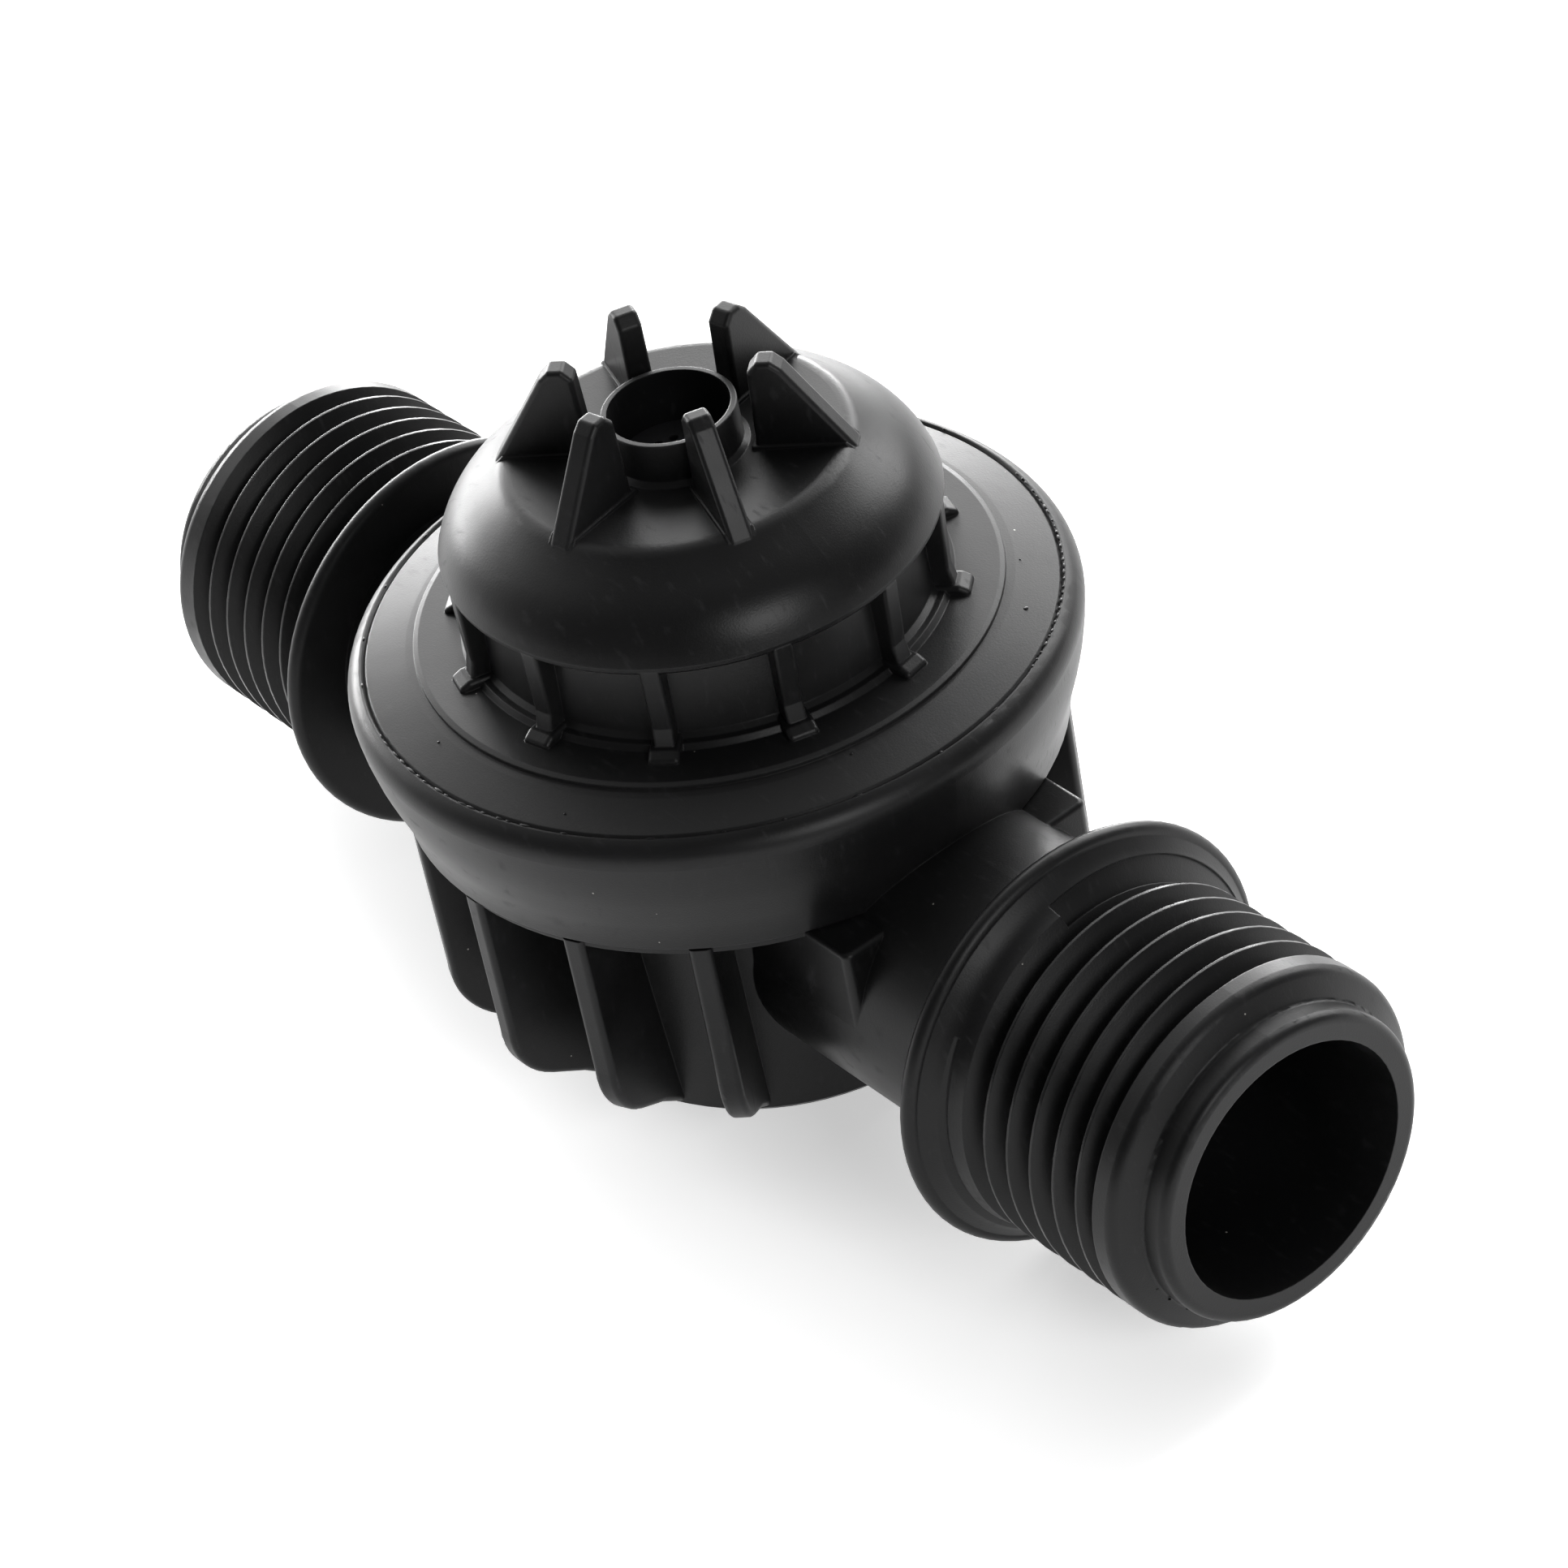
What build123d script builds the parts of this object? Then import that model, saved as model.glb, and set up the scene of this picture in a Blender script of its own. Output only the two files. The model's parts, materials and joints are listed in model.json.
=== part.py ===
"""Inline diaphragm pressure regulator for drip irrigation, with a G 1/2 male thread on each port.

Millimetres, +Z up. The origin is at the centre of the bounding box's bottom: the point on the
surface below the middle of the pipe, which the two port flanges stand on. The pipe runs along X,
and the spring bonnet and the regulating stem stand on Z. Heights named in the lists below are
counted from the pipe's axis, and every sketch is placed on a plane that starts there.
"""
import os
from math import atan, degrees

from build123d import *

os.makedirs("parts", exist_ok=True)

# --- Driving dimensions -------------------------------------------------------------------------
# Ports, along X from the middle of the body
PORT_END = 44.55
PORT_BORE_R = 7.45
INLET_BORE_LENGTH = 12.0
OUTLET_BORE_LENGTH = 30.0
INNER_BORE_R = 7.2
TIP_R = 8.95
TIP_STEP = 42.85
COLLAR_END = 42.05
THREAD_R = 20.955 / 2
THREAD_PITCH = 25.4 / 14
THREAD_DEPTH = 1.162
THREAD_START = 30.07
THREAD_TURNS = 5.5
FADE_IN_TURNS = 0.35
FADE_OUT_TURNS = 0.35
FLANGE_R = 12.35
FLANGE_BACK = 27.35
SPIGOT_ROOT_X = 31.0
RIM_ROUND = 0.55
TIP_ROUND = 0.55
NECK_R = 8.7
PORT_CUT_END = 9.6

# Body, heights from the pipe's axis
BASE_Z = -10.9
BASE_R = 12.8
BOWL_TOP_R = 14.3
LEDGE_Z = 6.65
LEDGE_R = 18.85
BAND_R = 20.5
SEAM_Z = 14.91
SEAM_R = 19.41
ROOT_BOX_X = 20.0
ROOT_BOX_HALF_Y = 8.6
RIB_STEP = 22.5
RIB_THICK = 1.35
CHAMBER_R = 15.4
CHAMBER_FLOOR_Z = 8.4
BOWL_BORE_R = 11.4
BOWL_FLOOR_Z = -9.0
WEB_TOP_Z = 0.0
WEB_UNDER_Z = -2.0
WEB_HOLE_R = 6.4
COLLAR_R = 8.5
COLLAR_TOP_Z = 2.0
WALL_X = 8.0
BEAD_R = 18.25
BEAD_UNDER_Z = 10.6
BEAD_TOP_Z = 12.1

# Bonnet, heights from the pipe's axis
BONNET_TURN = 12.0
BONNET_UNDER_Z = 12.6
STEP_R = 16.44
SKIRT_R = 13.9
DOME_R = 12.4
DOME_Z = 24.15
SKIRT_Z = 21.74
WALL_R = 12.8
CREST_R = 9.65
CREST_Z = 26.35
PLATEAU_DIP = 0.12
BOSS_R = 3.75
BOSS_BORE_R = 3.38
BOSS_TOP_Z = 28.77
FIN_TOP_Z = 31.7
FIN_THICK = 1.4
WALL_RIBS = 12
FINS = 6
BONNET_BORE_R = 11.4
CEILING_Z = 24.3
VENT_HOLE_R = 2.3
VENT_SEAT_Z = 24.9

# Regulating stem and valve, at rest with the valve fully open
STEM_R = 1.6
STUD_R = 1.5
TRAVEL = 2.15
SEAT_LIP_Z = -2.9
DISC_TOP_Z = SEAT_LIP_Z - TRAVEL - 0.05
DISC_THICK = 1.6
PLATE_Z = 8.6
DIAPHRAGM_THICK = 0.8
CUP_FLOOR_Z = PLATE_Z + 1.0 + DIAPHRAGM_THICK
SPRING_WIRE_R = 0.7
SPRING_R = 7.5
SPRING_TURNS = 5
NUT_ACROSS_FLATS = 5.5
NUT_HEIGHT = 2.4
CLIP_GROOVE_R = 1.2
STOP_Z = 4.62

# Seat and inlet screen
SEAT_ORIFICE_R = 4.4
SEAT_FLANGE_R = 7.6
ORING_GROOVE_R = 5.55
SCREEN_X = 30.7
SCREEN_R = 6.4
SCREEN_LENGTH = 15.0
SCREEN_ROWS = 3
SCREEN_SLOTS = 12
SCREEN_SLOT_PITCH = 4.2
SCREEN_FIRST_SLOT = 3.9

PIPE_Z = FLANGE_R

# --- Planes and small helpers -------------------------------------------------------------------
LEVEL = Plane.XY.offset(PIPE_Z)
SECTION = Plane(origin=(0, 0, PIPE_Z), x_dir=(1, 0, 0), z_dir=(0, -1, 0))
PIPE_AXIS = Axis((0, 0, PIPE_Z), (1, 0, 0))


def rounded_plate(outline, thickness, radius):
    """An upright plate in the XZ plane from (radius, height) points, with all its edges rounded."""
    with BuildPart() as plate:
        with BuildSketch(SECTION):
            with BuildLine():
                Polyline(*outline, close=True)
            make_face()
        extrude(amount=thickness / 2, both=True)
        fillet(plate.edges(), radius)
    return plate.part


# --- Body ---------------------------------------------------------------------------------------
def thread_groove():
    """Cutter for the right-hand V thread of the +X port.

    The groove fades in behind the flange, runs at full depth, and fades out into the collar, as a
    moulded thread does. Each of the three stretches starts where the last one ended.
    """
    half_width = THREAD_PITCH * 7 / 16
    over = 0.35
    top_r = THREAD_DEPTH + over
    half_top = half_width * top_r / THREAD_DEPTH
    root_r = THREAD_R - THREAD_DEPTH
    fade_in = THREAD_PITCH * FADE_IN_TURNS
    fade_out = THREAD_PITCH * FADE_OUT_TURNS
    full_depth = THREAD_PITCH * THREAD_TURNS
    rise = 1.25 * THREAD_DEPTH
    # Start along X, length, start radius and cone angle of each stretch
    stretches = [
        (THREAD_START - fade_in, fade_in, root_r + rise, -degrees(atan(rise / fade_in))),
        (THREAD_START, full_depth, root_r, 0),
        (THREAD_START + full_depth, fade_out, root_r, degrees(atan(rise / fade_out))),
    ]
    cutters = []
    for x_start, length, start_r, cone in stretches:
        with BuildPart() as groove:
            with BuildLine() as turns:
                Helix(THREAD_PITCH, length, start_r, cone_angle=cone)
            with BuildSketch(Plane(origin=turns.line @ 0, x_dir=(1, 0, 0), z_dir=turns.line % 0)):
                with BuildLine():
                    Polyline((0, -0.1), (top_r, -half_top), (top_r, half_top), (0, 0.1), close=True)
                make_face()
            sweep(path=turns.line, is_frenet=True)
        turn = 360 * (x_start - THREAD_START) / THREAD_PITCH
        along_x = Location((x_start, 0, PIPE_Z), (0, 90, 0))
        cutters.append(along_x * Rot(0, 0, turn) * groove.part)
    return cutters


# Water spaces inside the body: the outlet side lies over the seat's web and opens into the
# diaphragm chamber, and the inlet side lies under the web
with BuildPart() as outlet_space:
    with BuildSketch(SECTION):
        with BuildLine():
            Polyline(
                (0, CHAMBER_FLOOR_Z),
                (CHAMBER_R, CHAMBER_FLOOR_Z),
                (CHAMBER_R, BEAD_UNDER_Z),
                (BEAD_R, BEAD_UNDER_Z),
                (BEAD_R, BONNET_UNDER_Z),
                (SEAM_R, BONNET_UNDER_Z),
                (SEAM_R, SEAM_Z - 0.15),
                (SEAM_R + 0.15, SEAM_Z),
                (SEAM_R + 0.15, SEAM_Z + 1),
                (0, SEAM_Z + 1),
                close=True,
            )
        make_face()
    revolve(axis=Axis.Z)
    with BuildSketch(LEVEL.offset(WEB_TOP_Z)):
        Circle(BOWL_BORE_R)
        with Locations((-WALL_X - BOWL_BORE_R, 0)):
            Rectangle(2 * BOWL_BORE_R, 4 * BOWL_BORE_R, mode=Mode.SUBTRACT)
    extrude(amount=CHAMBER_FLOOR_Z - WEB_TOP_Z)
    with BuildSketch(Plane(origin=(PORT_CUT_END, 0, PIPE_Z), z_dir=(1, 0, 0))):
        Circle(INNER_BORE_R)
    extrude(amount=PORT_END)
    with BuildSketch(Plane(origin=(PORT_END - OUTLET_BORE_LENGTH, 0, PIPE_Z), z_dir=(1, 0, 0))):
        Circle(PORT_BORE_R)
    extrude(amount=PORT_END)

with BuildPart() as inlet_space:
    with BuildSketch(LEVEL.offset(BOWL_FLOOR_Z)):
        Circle(BOWL_BORE_R - 0.4)
        with Locations((WALL_X + BOWL_BORE_R, 0)):
            Rectangle(2 * BOWL_BORE_R, 4 * BOWL_BORE_R, mode=Mode.SUBTRACT)
    extrude(amount=WEB_UNDER_Z - BOWL_FLOOR_Z)
    with BuildSketch(Plane(origin=(-PORT_CUT_END, 0, PIPE_Z), z_dir=(-1, 0, 0))):
        Circle(INNER_BORE_R)
    extrude(amount=PORT_END)
    with BuildSketch(Plane(origin=(INLET_BORE_LENGTH - PORT_END, 0, PIPE_Z), z_dir=(-1, 0, 0))):
        Circle(PORT_BORE_R)
    extrude(amount=PORT_END)

# One rib under the band: nearly upright outside, with a large rounded lower corner
with BuildPart() as rib_plate:
    with BuildSketch(SECTION):
        with BuildLine():
            Polyline((10, BASE_Z + 1.6), (12.9, BASE_Z + 0.9), (14.6, -8.6), (16.6, -7.4))
            TangentArc((16.6, -7.4), (18.7, -3.2), tangent=(2.0, 1.2))
            Polyline((18.7, -3.2), (LEDGE_R - 0.05, LEDGE_Z - 0.2), (10, LEDGE_Z - 0.2), (10, BASE_Z + 1.6))
        make_face()
    extrude(amount=RIB_THICK / 2, both=True)
    outside = rib_plate.edges().filter_by_position(Axis.X, 13.5, 30).filter_by(Axis.Y, reverse=True)
    fillet(outside.filter_by_position(Axis.Z, 0, PIPE_Z + 6), 0.35)
body_rib = rib_plate.part

# Box at the root of both necks, with its edges rounded
with BuildPart() as root_box:
    with BuildSketch(LEVEL):
        Rectangle(2 * ROOT_BOX_X, 2 * ROOT_BOX_HALF_Y)
    extrude(amount=LEDGE_Z - 0.15)
    fillet(root_box.edges().filter_by(Axis.Z), 0.5)
    fillet(root_box.edges().group_by(Axis.Z)[-1], 0.3)

thread_cutters = thread_groove()

with BuildPart() as body:
    # Bowl and band
    with BuildSketch(SECTION):
        with BuildLine():
            Polyline(
                (0, BASE_Z),
                (BASE_R - 0.7, BASE_Z),
                (BASE_R, BASE_Z + 0.7),
                (BOWL_TOP_R, LEDGE_Z - 0.55),
                (LEDGE_R - 0.3, LEDGE_Z - 0.55),
                (LEDGE_R - 0.3, LEDGE_Z),
                (LEDGE_R, LEDGE_Z),
            )
            Spline(
                (LEDGE_R, LEDGE_Z),
                (LEDGE_R + 0.95, LEDGE_Z + 3.4),
                (BAND_R, SEAM_Z - 1.5),
                tangents=((0.12, 1), (0.1, 1)),
            )
            TangentArc((BAND_R, SEAM_Z - 1.5), (SEAM_R + 0.25, SEAM_Z), tangent=(0.1, 1))
            Polyline((SEAM_R + 0.25, SEAM_Z), (0, SEAM_Z), (0, BASE_Z))
        make_face()
    revolve(axis=Axis.Z)
    # Ribs under the band
    rib_azimuths = [side * (90 + k * RIB_STEP) for side in (-1, 1) for k in (-2, -1, 0, 1, 2)]
    for azimuth in rib_azimuths:
        add(body_rib.rotate(Axis.Z, azimuth))
    add(root_box.part)
    # Necks, flanges, threaded spigots and tips
    for side in (-1, 1):
        with BuildSketch(SECTION):
            with BuildLine():
                Polyline((side * 6, 0), (side * 6, NECK_R), (side * FLANGE_BACK, NECK_R))
                Line((side * FLANGE_BACK, NECK_R), (side * FLANGE_BACK, FLANGE_R - RIM_ROUND))
                ThreePointArc(
                    (side * FLANGE_BACK, FLANGE_R - RIM_ROUND),
                    (side * (FLANGE_BACK + RIM_ROUND), FLANGE_R),
                    (side * (FLANGE_BACK + 2 * RIM_ROUND), FLANGE_R - RIM_ROUND),
                )
                Spline(
                    (side * (FLANGE_BACK + 2 * RIM_ROUND), FLANGE_R - RIM_ROUND),
                    (side * (SPIGOT_ROOT_X - 1.6), THREAD_R + 0.35),
                    (side * SPIGOT_ROOT_X, THREAD_R),
                    tangents=((side * 0.75, -1), (side, 0)),
                )
                Line((side * SPIGOT_ROOT_X, THREAD_R), (side * (COLLAR_END - 0.3), THREAD_R))
                ThreePointArc(
                    (side * (COLLAR_END - 0.3), THREAD_R),
                    (side * (COLLAR_END + 0.05), THREAD_R - 0.12),
                    (side * (COLLAR_END + 0.3), THREAD_R - 0.4),
                )
                Line((side * (COLLAR_END + 0.3), THREAD_R - 0.4), (side * TIP_STEP, TIP_R + 0.15))
                ThreePointArc(
                    (side * TIP_STEP, TIP_R + 0.15),
                    (side * (TIP_STEP + 0.1), TIP_R + 0.04),
                    (side * (TIP_STEP + 0.25), TIP_R),
                )
                Line((side * (TIP_STEP + 0.25), TIP_R), (side * (PORT_END - TIP_ROUND), TIP_R))
                ThreePointArc(
                    (side * (PORT_END - TIP_ROUND), TIP_R),
                    (side * (PORT_END - TIP_ROUND * 0.293), TIP_R - TIP_ROUND * 0.293),
                    (side * PORT_END, TIP_R - TIP_ROUND),
                )
                Polyline((side * PORT_END, TIP_R - TIP_ROUND), (side * PORT_END, 0), (side * 6, 0))
            make_face()
        revolve(axis=PIPE_AXIS)
    # Water spaces
    add(outlet_space.part, mode=Mode.SUBTRACT)
    add(inlet_space.part, mode=Mode.SUBTRACT)
    # Collar that the seat ring and the stem guide sit in, and the seat's hole through the web
    with BuildSketch(LEVEL.offset(WEB_TOP_Z - 0.5)):
        Circle(COLLAR_R)
        Circle(SEAT_FLANGE_R, mode=Mode.SUBTRACT)
    extrude(amount=COLLAR_TOP_Z - WEB_TOP_Z + 0.5)
    with BuildSketch(LEVEL.offset(WEB_UNDER_Z)):
        Circle(WEB_HOLE_R)
    extrude(amount=WEB_TOP_Z - WEB_UNDER_Z, mode=Mode.SUBTRACT)
    # Threads
    for cutter in thread_cutters:
        add(cutter, mode=Mode.SUBTRACT)
        add(cutter.rotate(Axis.Z, 180), mode=Mode.SUBTRACT)

body.part.label = "body"
export_step(body.part, "parts/body.step")

# --- Bonnet -------------------------------------------------------------------------------------
fin = rounded_plate(
    [
        (4.45, 25.1),
        (4.75, 31.1),
        (5.3, FIN_TOP_Z),
        (6.1, FIN_TOP_Z),
        (6.65, 31.2),
        (9.95, 26.1),
        (10.6, 24.7),
    ],
    FIN_THICK,
    0.28,
)
fin_foot = rounded_plate(
    [(4.3, 25.2), (4.3, CREST_Z + 0.12), (9.5, CREST_Z + 0.12), (10.85, 25.05), (10.6, 24.6)],
    FIN_THICK + 0.3,
    0.1,
)
wall_rib = rounded_plate(
    [(12.2, 16.0), (14.3, 16.0), (13.95, 16.6), (13.75, 17.6), (SKIRT_R, SKIRT_Z - 0.1), (12.2, SKIRT_Z + 0.2)],
    1.15,
    0.2,
)
wall_rib_foot = rounded_plate(
    [(12.6, 15.6), (14.85, 15.6), (14.75, 16.25), (14.2, 16.55), (12.6, 16.6)],
    1.75,
    0.28,
)
with BuildPart() as bonnet:
    with BuildSketch(SECTION):
        with BuildLine():
            Polyline(
                (0, BONNET_UNDER_Z),
                (SEAM_R, BONNET_UNDER_Z),
                (SEAM_R, SEAM_Z - 0.15),
                (SEAM_R - 0.15, SEAM_Z),
                (STEP_R + 0.5, 15.5),
                (STEP_R, 15.6),
                (STEP_R, 15.85),
                (STEP_R - 0.3, 15.95),
                (13.7, 16.05),
                (13.45, 16.35),
                (13.1, 16.4),
                (WALL_R, 16.65),
                (WALL_R - 0.15, SKIRT_Z - 0.5),
                (SKIRT_R - 0.25, SKIRT_Z - 0.5),
                (SKIRT_R - 0.03, SKIRT_Z - 0.28),
                (SKIRT_R, SKIRT_Z),
            )
            Spline(
                (SKIRT_R, SKIRT_Z),
                (DOME_R, DOME_Z),
                (CREST_R + 0.5, CREST_Z - 0.5),
                (CREST_R - 0.6, CREST_Z),
                tangents=((-0.35, 1), (-1, 0)),
            )
            Polyline(
                (CREST_R - 0.6, CREST_Z),
                (BOSS_R + 0.3, CREST_Z - PLATEAU_DIP),
                (BOSS_R, CREST_Z + 0.15),
                (BOSS_R - 0.03, BOSS_TOP_Z - 0.05),
                (BOSS_R - 0.08, BOSS_TOP_Z),
                (0, BOSS_TOP_Z),
                (0, BONNET_UNDER_Z),
            )
        make_face()
    revolve(axis=Axis.Z)
    # Ribs on the upright wall, each with a flared foot
    for k in range(WALL_RIBS):
        azimuth = BONNET_TURN + k * 360 / WALL_RIBS
        add(wall_rib.rotate(Axis.Z, azimuth))
        add(wall_rib_foot.rotate(Axis.Z, azimuth))
    # Guard fins round the boss, each over every second rib, with a slightly wider foot
    for k in range(FINS):
        azimuth = BONNET_TURN + 30 + k * 360 / FINS
        add(fin.rotate(Axis.Z, azimuth))
        add(fin_foot.rotate(Axis.Z, azimuth))
    # Hollow: diaphragm's roll, spring, and the vent through the boss
    with BuildSketch(SECTION):
        with BuildLine():
            Polyline(
                (0, BONNET_UNDER_Z),
                (CHAMBER_R - 0.2, BONNET_UNDER_Z),
                (CHAMBER_R - 0.2, 14.4),
                (BONNET_BORE_R, 14.55),
                (BONNET_BORE_R, 20.9),
                (8.7, CEILING_Z),
                (VENT_HOLE_R, CEILING_Z),
                (VENT_HOLE_R, VENT_SEAT_Z),
                (BOSS_BORE_R, VENT_SEAT_Z),
                (BOSS_BORE_R, BOSS_TOP_Z),
                (0, BOSS_TOP_Z),
                close=True,
            )
        make_face()
    revolve(axis=Axis.Z, mode=Mode.SUBTRACT)

bonnet.part.label = "bonnet"
export_step(bonnet.part, "parts/bonnet.step")

with BuildPart() as vent_screen:
    with BuildSketch(LEVEL.offset(VENT_SEAT_Z)):
        Circle(BOSS_BORE_R)
        Circle(0.35, mode=Mode.SUBTRACT)
        for ring_r, count in ((0.95, 6), (1.75, 12)):
            with PolarLocations(ring_r, count):
                Circle(0.25, mode=Mode.SUBTRACT)
    extrude(amount=0.6)

vent_screen.part.label = "vent_screen"
export_step(vent_screen.part, "parts/vent_screen.step")

# --- Diaphragm and what clamps it -----------------------------------------------------------------
ROLL_MIDDLE_R = 12.55
ROLL_R = 2.35
ROLL_Z = 10.9
HALF = DIAPHRAGM_THICK / 2
with BuildPart() as diaphragm:
    with BuildSketch(SECTION):
        with BuildLine():
            inner_low = (ROLL_MIDDLE_R - ROLL_R + HALF, ROLL_Z)
            outer_low = (ROLL_MIDDLE_R + ROLL_R - HALF, ROLL_Z)
            inner_high = (ROLL_MIDDLE_R - ROLL_R - HALF, ROLL_Z)
            outer_high = (ROLL_MIDDLE_R + ROLL_R + HALF, ROLL_Z + 0.3)
            Polyline(
                (STUD_R + 0.02, PLATE_Z + 1.02),
                (inner_low[0] - 0.5, PLATE_Z + 1.02),
                (inner_low[0], PLATE_Z + 1.5),
                inner_low,
            )
            ThreePointArc(inner_low, (ROLL_MIDDLE_R, ROLL_Z + ROLL_R - HALF), outer_low)
            Polyline(outer_low, (outer_low[0], BEAD_UNDER_Z), (BEAD_R - 0.05, BEAD_UNDER_Z))
            Polyline((BEAD_R - 0.05, BEAD_UNDER_Z), (BEAD_R - 0.05, BEAD_TOP_Z), (CHAMBER_R + 0.1, BEAD_TOP_Z))
            Polyline((CHAMBER_R + 0.1, BEAD_TOP_Z), (CHAMBER_R + 0.1, ROLL_Z + 0.3), outer_high)
            ThreePointArc(outer_high, (ROLL_MIDDLE_R, ROLL_Z + ROLL_R + HALF), inner_high)
            Polyline(
                inner_high,
                (inner_high[0], PLATE_Z + 1 + DIAPHRAGM_THICK - 0.02),
                (STUD_R + 0.02, PLATE_Z + 1 + DIAPHRAGM_THICK - 0.02),
                (STUD_R + 0.02, PLATE_Z + 1.02),
            )
        make_face()
    revolve(axis=Axis.Z)

diaphragm.part.label = "diaphragm"
export_step(diaphragm.part, "parts/diaphragm.step")

with BuildPart() as slip_ring:
    with BuildSketch(SECTION):
        with BuildLine():
            Polyline(
                (CHAMBER_R + 0.1, BEAD_TOP_Z),
                (BEAD_R - 0.05, BEAD_TOP_Z),
                (BEAD_R - 0.05, BONNET_UNDER_Z),
                (CHAMBER_R + 0.1, BONNET_UNDER_Z),
                close=True,
            )
        make_face()
    revolve(axis=Axis.Z)

slip_ring.part.label = "slip_ring"
export_step(slip_ring.part, "parts/slip_ring.step")

with BuildPart() as lower_diaphragm_plate:
    with BuildSketch(SECTION):
        with BuildLine():
            Polyline(
                (STUD_R, PLATE_Z),
                (8.6, PLATE_Z),
                (9.0, PLATE_Z + 0.4),
                (9.0, PLATE_Z + 1.0),
                (STUD_R, PLATE_Z + 1.0),
                close=True,
            )
        make_face()
    revolve(axis=Axis.Z)

lower_diaphragm_plate.part.label = "lower_diaphragm_plate"
export_step(lower_diaphragm_plate.part, "parts/lower_diaphragm_plate.step")

with BuildPart() as spring_cup:
    with BuildSketch(SECTION):
        with BuildLine():
            Polyline(
                (STUD_R, CUP_FLOOR_Z),
                (8.7, CUP_FLOOR_Z),
                (9.0, CUP_FLOOR_Z + 0.3),
                (9.0, CUP_FLOOR_Z + 3.2),
                (8.45, CUP_FLOOR_Z + 3.2),
                (8.45, CUP_FLOOR_Z + 1.0),
                (STUD_R, CUP_FLOOR_Z + 1.0),
                close=True,
            )
        make_face()
    revolve(axis=Axis.Z)

spring_cup.part.label = "spring_cup"
export_step(spring_cup.part, "parts/spring_cup.step")

with BuildPart() as stem_washer:
    with BuildSketch(SECTION):
        with BuildLine():
            Polyline(
                (STUD_R, CUP_FLOOR_Z + 1.0),
                (3.2, CUP_FLOOR_Z + 1.0),
                (3.2, CUP_FLOOR_Z + 1.5),
                (STUD_R, CUP_FLOOR_Z + 1.5),
                close=True,
            )
        make_face()
    revolve(axis=Axis.Z)

stem_washer.part.label = "stem_washer"
export_step(stem_washer.part, "parts/stem_washer.step")

with BuildPart() as stem_nut:
    with BuildSketch(LEVEL.offset(CUP_FLOOR_Z + 1.5)):
        RegularPolygon(NUT_ACROSS_FLATS / 2, 6, major_radius=False)
        Circle(STUD_R, mode=Mode.SUBTRACT)
    extrude(amount=NUT_HEIGHT)

stem_nut.part.label = "stem_nut"
export_step(stem_nut.part, "parts/stem_nut.step")

# --- Main spring ----------------------------------------------------------------------------------
SPRING_UNDER_Z = CUP_FLOOR_Z + 1.02
SPRING_TOP_Z = CEILING_Z - 0.82
wire_rise = SPRING_TOP_Z - SPRING_UNDER_Z - 2 * SPRING_WIRE_R
with BuildPart() as main_spring:
    with BuildLine() as coil:
        Helix(
            wire_rise / SPRING_TURNS,
            wire_rise,
            SPRING_R,
            center=(0, 0, PIPE_Z + SPRING_UNDER_Z + SPRING_WIRE_R),
        )
    with BuildSketch(Plane(origin=coil.line @ 0, z_dir=coil.line % 0)):
        Circle(SPRING_WIRE_R)
    sweep(path=coil.line, is_frenet=True)

main_spring.part.label = "main_spring"
export_step(main_spring.part, "parts/main_spring.step")

with BuildPart() as spring_seat:
    with BuildSketch(SECTION):
        with BuildLine():
            Polyline(
                (VENT_HOLE_R + 0.3, CEILING_Z - 2.4),
                (6.3, CEILING_Z - 2.4),
                (6.5, CEILING_Z - 2.2),
                (6.5, CEILING_Z - 0.8),
                (8.4, CEILING_Z - 0.8),
                (8.4, CEILING_Z),
                (VENT_HOLE_R + 0.3, CEILING_Z),
                close=True,
            )
        make_face()
    revolve(axis=Axis.Z)

spring_seat.part.label = "spring_seat"
export_step(spring_seat.part, "parts/spring_seat.step")

# --- Stem and valve -------------------------------------------------------------------------------
disc_under = DISC_TOP_Z - DISC_THICK
holder_under = disc_under - 0.7
clip_under = holder_under - 0.5
with BuildPart() as stem:
    with BuildSketch(SECTION):
        with BuildLine():
            Polyline(
                (0, clip_under - 0.5),
                (STEM_R - 0.2, clip_under - 0.5),
                (STEM_R, clip_under - 0.3),
                (STEM_R, clip_under),
                (CLIP_GROOVE_R, clip_under),
                (CLIP_GROOVE_R, holder_under),
                (STEM_R, holder_under),
                (STEM_R, DISC_TOP_Z),
                (2.6, DISC_TOP_Z),
                (2.6, DISC_TOP_Z + 0.8),
                (STEM_R, DISC_TOP_Z + 1.6),
                (STEM_R, STOP_Z),
                (2.6, STOP_Z),
                (2.6, PLATE_Z - 1.8),
                (3.2, PLATE_Z - 1.2),
                (3.2, PLATE_Z),
                (STUD_R, PLATE_Z),
                (STUD_R, 14.7),
                (STUD_R - 0.3, 15.0),
                (0, 15.0),
                close=True,
            )
        make_face()
    revolve(axis=Axis.Z)

stem.part.label = "stem"
export_step(stem.part, "parts/stem.step")

with BuildPart() as valve_disc:
    with BuildSketch(SECTION):
        with BuildLine():
            Polyline(
                (STEM_R, disc_under),
                (5.3, disc_under),
                (5.3, DISC_TOP_Z),
                (STEM_R, DISC_TOP_Z),
                close=True,
            )
        make_face()
    revolve(axis=Axis.Z)

valve_disc.part.label = "valve_disc"
export_step(valve_disc.part, "parts/valve_disc.step")

with BuildPart() as disc_holder:
    with BuildSketch(SECTION):
        with BuildLine():
            Polyline(
                (STEM_R, holder_under),
                (5.6, holder_under),
                (6.0, holder_under + 0.4),
                (6.0, DISC_TOP_Z - 0.6),
                (5.3, DISC_TOP_Z - 0.6),
                (5.3, disc_under),
                (STEM_R, disc_under),
                close=True,
            )
        make_face()
    revolve(axis=Axis.Z)

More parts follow.
